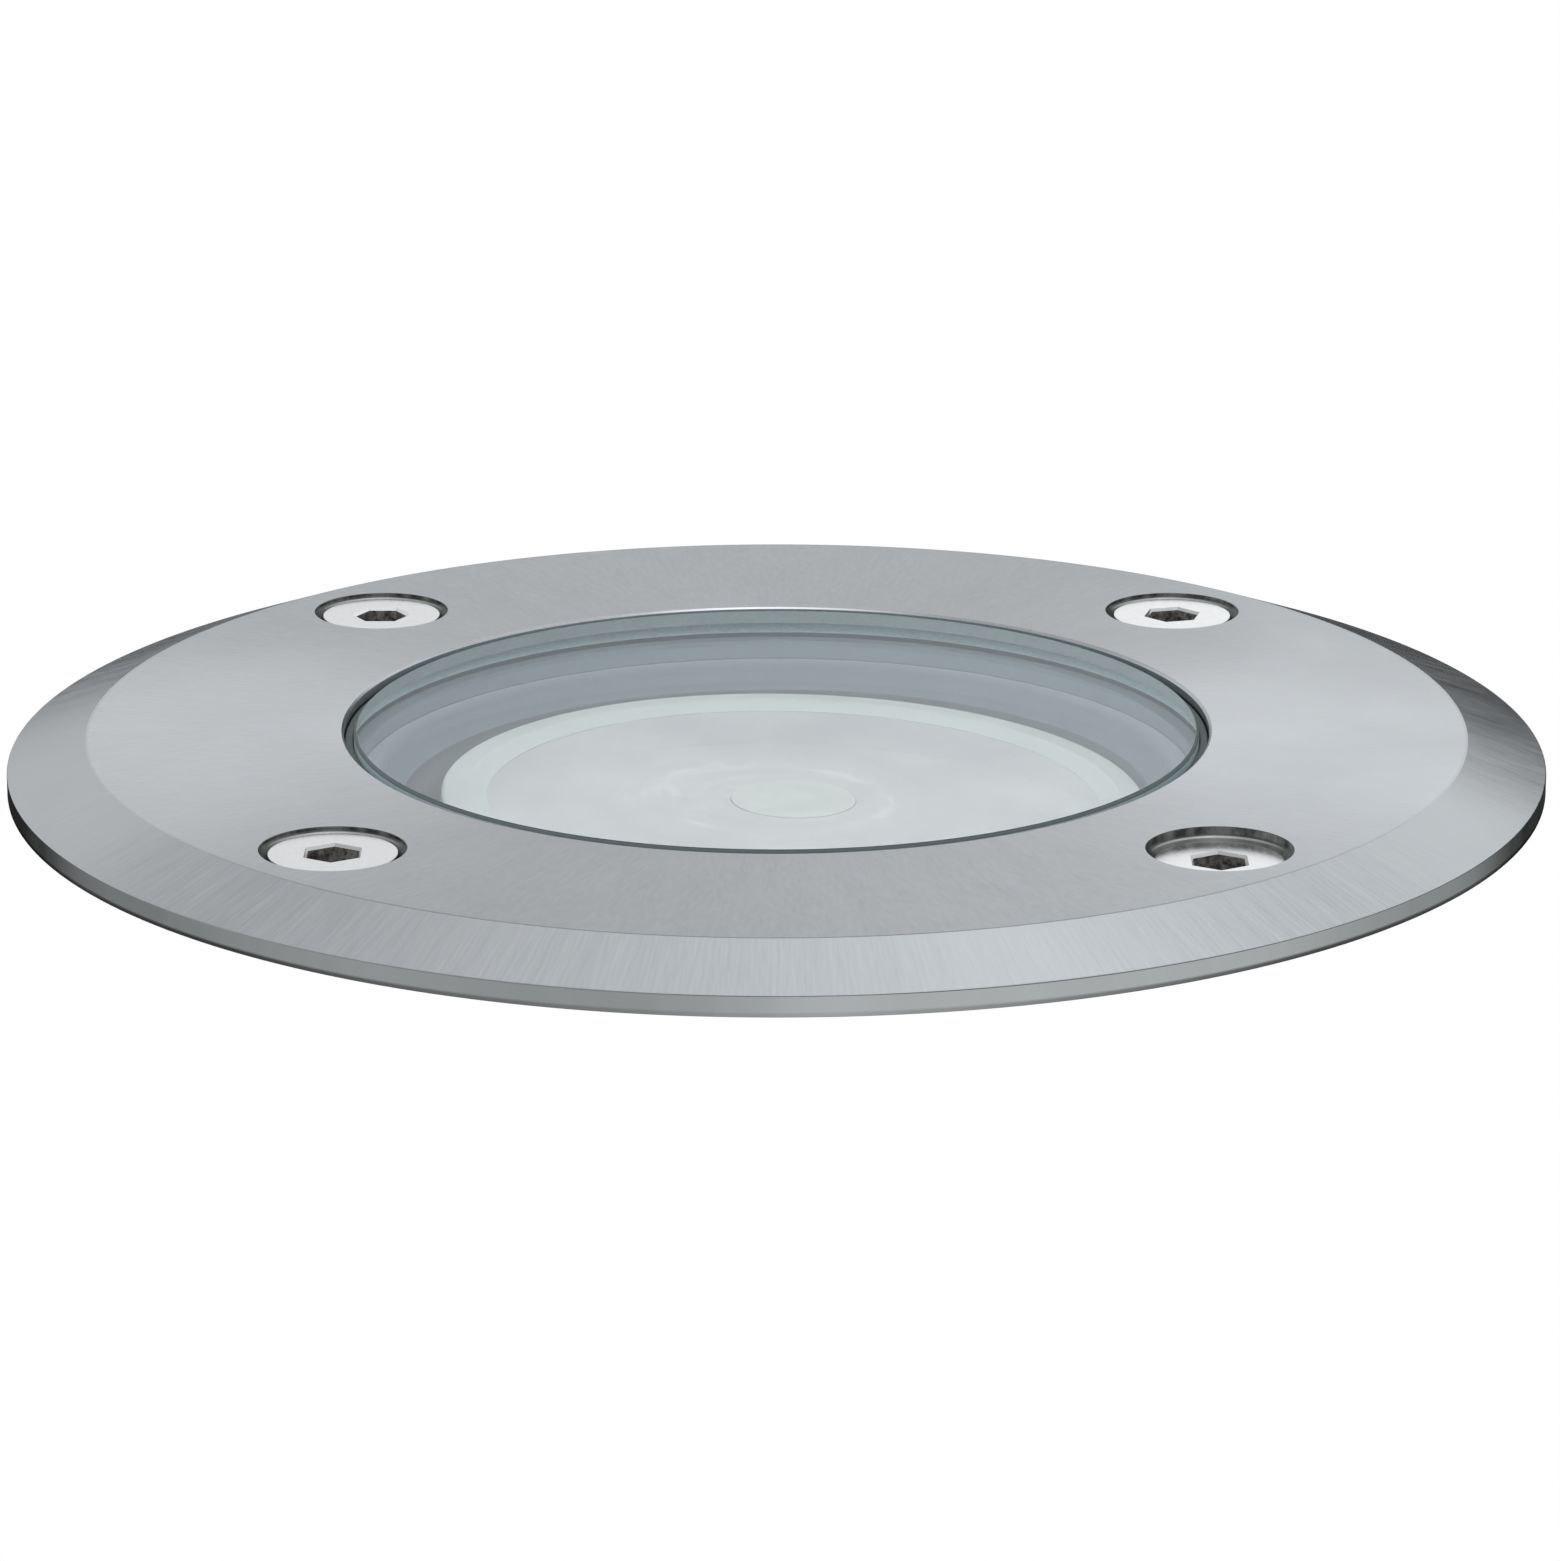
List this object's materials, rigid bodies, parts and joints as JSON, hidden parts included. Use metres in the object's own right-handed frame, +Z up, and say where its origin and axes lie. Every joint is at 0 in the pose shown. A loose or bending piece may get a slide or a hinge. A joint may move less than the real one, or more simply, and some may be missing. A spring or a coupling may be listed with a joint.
{
  "type": "in-ground well light",
  "caption": "Round in-ground light with a bevelled steel cover ring, countersunk socket screws, a thick stepped glass, a lamp in a cast housing and a plastic sleeve for the ground.",
  "frame": {"origin": "centre of the light at ground level, the plane that the underside of the cover ring rests on", "axes": "+Z up, out of the ground; -Y is the front that the picture looks at; X runs left to right across two of the screws"},
  "size_m": [0.11, 0.11, 0.1196],
  "materials": {
    "cover_steel": "satin turned stainless steel",
    "screw_steel": "bright stainless steel",
    "washer_nylon": "natural nylon",
    "insert_brass": "plain brass",
    "clear_glass": "polished, green at the edge",
    "glass_gasket": "dark silicone rubber",
    "cast_aluminium": "cast, matt",
    "trim_grey": "matt grey green paint",
    "lamp_rim": "white with a green tinge",
    "lamp_diffuser": "opal white",
    "lamp_centre": "opal white",
    "lamp_aluminium": "satin",
    "board_white": "white solder resist",
    "emitter_yellow": "yellow phosphor",
    "board_green": "green circuit board",
    "base_white": "moulded white",
    "pin_nickel": "nickel plate",
    "holder_ceramic": "glazed ceramic",
    "contact_brass": "plain brass",
    "bracket_steel": "zinc plate",
    "small_screw_steel": "zinc plate",
    "block_grey": "moulded light grey",
    "lead_brown": "brown insulation",
    "lead_blue": "blue insulation",
    "lead_green": "green and yellow insulation",
    "gland_nylon": "black nylon",
    "seal_rubber": "black rubber",
    "sleeve_plastic": "moulded black"
  },
  "bodies": {
    "sleeve": {"mounting_sleeve": "sleeve_plastic"},
    "housing": {"housing_flange": "cast_aluminium", "housing_can": "cast_aluminium", "screw_insert_front_left": "insert_brass", "screw_insert_front_right": "insert_brass", "screw_insert_back_left": "insert_brass", "screw_insert_back_right": "insert_brass", "lower_glass_gasket": "glass_gasket", "trim_ring": "trim_grey", "lamp_holder": "holder_ceramic", "holder_contact_1": "contact_brass", "holder_contact_2": "contact_brass", "holder_bracket": "bracket_steel", "bracket_screw_1": "small_screw_steel", "bracket_screw_2": "small_screw_steel", "terminal_block": "block_grey", "terminal_contact_live": "contact_brass", "terminal_contact_neutral": "contact_brass", "terminal_contact_earth": "contact_brass", "live_lead": "lead_brown", "neutral_lead": "lead_blue", "earth_lead": "lead_green", "earth_tag": "contact_brass", "earth_screw": "small_screw_steel", "gland_body": "gland_nylon", "gland_washer": "seal_rubber", "gland_locknut": "gland_nylon"},
    "cover": {"cover_ring": "cover_steel", "upper_glass_gasket": "glass_gasket"},
    "glass": {"glass_lens": "clear_glass"},
    "retainer_front_left": {"screw_retainer_front_left": "washer_nylon"},
    "screw_front_left": {"cover_screw_front_left": "screw_steel"},
    "retainer_front_right": {"screw_retainer_front_right": "washer_nylon"},
    "screw_front_right": {"cover_screw_front_right": "screw_steel"},
    "retainer_back_left": {"screw_retainer_back_left": "washer_nylon"},
    "screw_back_left": {"cover_screw_back_left": "screw_steel"},
    "retainer_back_right": {"screw_retainer_back_right": "washer_nylon"},
    "screw_back_right": {"cover_screw_back_right": "screw_steel"},
    "lamp": {"lamp_bezel": "lamp_rim", "lamp_diffuser": "lamp_diffuser", "lamp_centre_disc": "lamp_centre", "lamp_cup": "lamp_aluminium", "lamp_light_board": "board_white", "lamp_emitter": "emitter_yellow", "lamp_driver_board": "board_green", "lamp_base": "base_white", "lamp_pin_1": "pin_nickel", "lamp_pin_2": "pin_nickel"},
    "seal": {"gland_seal": "seal_rubber"},
    "cap": {"gland_cap": "gland_nylon"}
  },
  "joints": [
    {"name": "housing_lift", "type": "slide", "parent": "sleeve", "child": "housing", "axis": [0, 0, 1], "range_m": [0, 0.018]},
    {"name": "cover_lift", "type": "slide", "parent": "housing", "child": "cover", "axis": [0, 0, 1], "range_m": [0, 0.02]},
    {"name": "glass_lift", "type": "slide", "parent": "housing", "child": "glass", "axis": [0, 0, 1], "range_m": [0, 0.012]},
    {"name": "lamp_twist", "type": "hinge", "parent": "housing", "child": "lamp", "pos_m": [0, 0, -0.05765], "axis": [0.0244, 0, 0.9997], "range_deg": [0, 30]},
    {"name": "seal_slide", "type": "slide", "parent": "housing", "child": "seal", "axis": [0, 0, -1], "range_m": [0, 0.003]},
    {"name": "gland_cap_turn", "type": "hinge", "parent": "seal", "child": "cap", "pos_m": [0, 0, -0.104], "axis": [0, 0, -1], "range_deg": [0, 720]},
    {"name": "screw_rise_front_left", "type": "slide", "parent": "cover", "child": "retainer_front_left", "axis": [0, 0, 1], "range_m": [0, 0.0032]},
    {"name": "screw_turn_front_left", "type": "hinge", "parent": "retainer_front_left", "child": "screw_front_left", "pos_m": [-0.03, -0.03, 0], "axis": [0, 0, 1], "range_deg": [0, 1440]},
    {"name": "screw_rise_front_right", "type": "slide", "parent": "cover", "child": "retainer_front_right", "axis": [0, 0, 1], "range_m": [0, 0.0032]},
    {"name": "screw_turn_front_right", "type": "hinge", "parent": "retainer_front_right", "child": "screw_front_right", "pos_m": [0.03, -0.03, 0], "axis": [0, 0, 1], "range_deg": [0, 1440]},
    {"name": "screw_rise_back_left", "type": "slide", "parent": "cover", "child": "retainer_back_left", "axis": [0, 0, 1], "range_m": [0, 0.0032]},
    {"name": "screw_turn_back_left", "type": "hinge", "parent": "retainer_back_left", "child": "screw_back_left", "pos_m": [-0.03, 0.03, 0], "axis": [0, 0, 1], "range_deg": [0, 1440]},
    {"name": "screw_rise_back_right", "type": "slide", "parent": "cover", "child": "retainer_back_right", "axis": [0, 0, 1], "range_m": [0, 0.0032]},
    {"name": "screw_turn_back_right", "type": "hinge", "parent": "retainer_back_right", "child": "screw_back_right", "pos_m": [0.03, 0.03, 0], "axis": [0, 0, 1], "range_deg": [0, 1440]}
  ],
  "couplings": [
    {"joint": "glass_lift", "follows": "cover_lift", "ratio": 0.6},
    {"joint": "gland_cap_turn", "follows": "seal_slide", "rad_per_m": 4188.8},
    {"joint": "screw_turn_front_left", "follows": "screw_rise_front_left", "rad_per_m": 7854},
    {"joint": "screw_turn_front_right", "follows": "screw_rise_front_right", "rad_per_m": 7854},
    {"joint": "screw_turn_back_left", "follows": "screw_rise_back_left", "rad_per_m": 7854},
    {"joint": "screw_turn_back_right", "follows": "screw_rise_back_right", "rad_per_m": 7854}
  ]
}
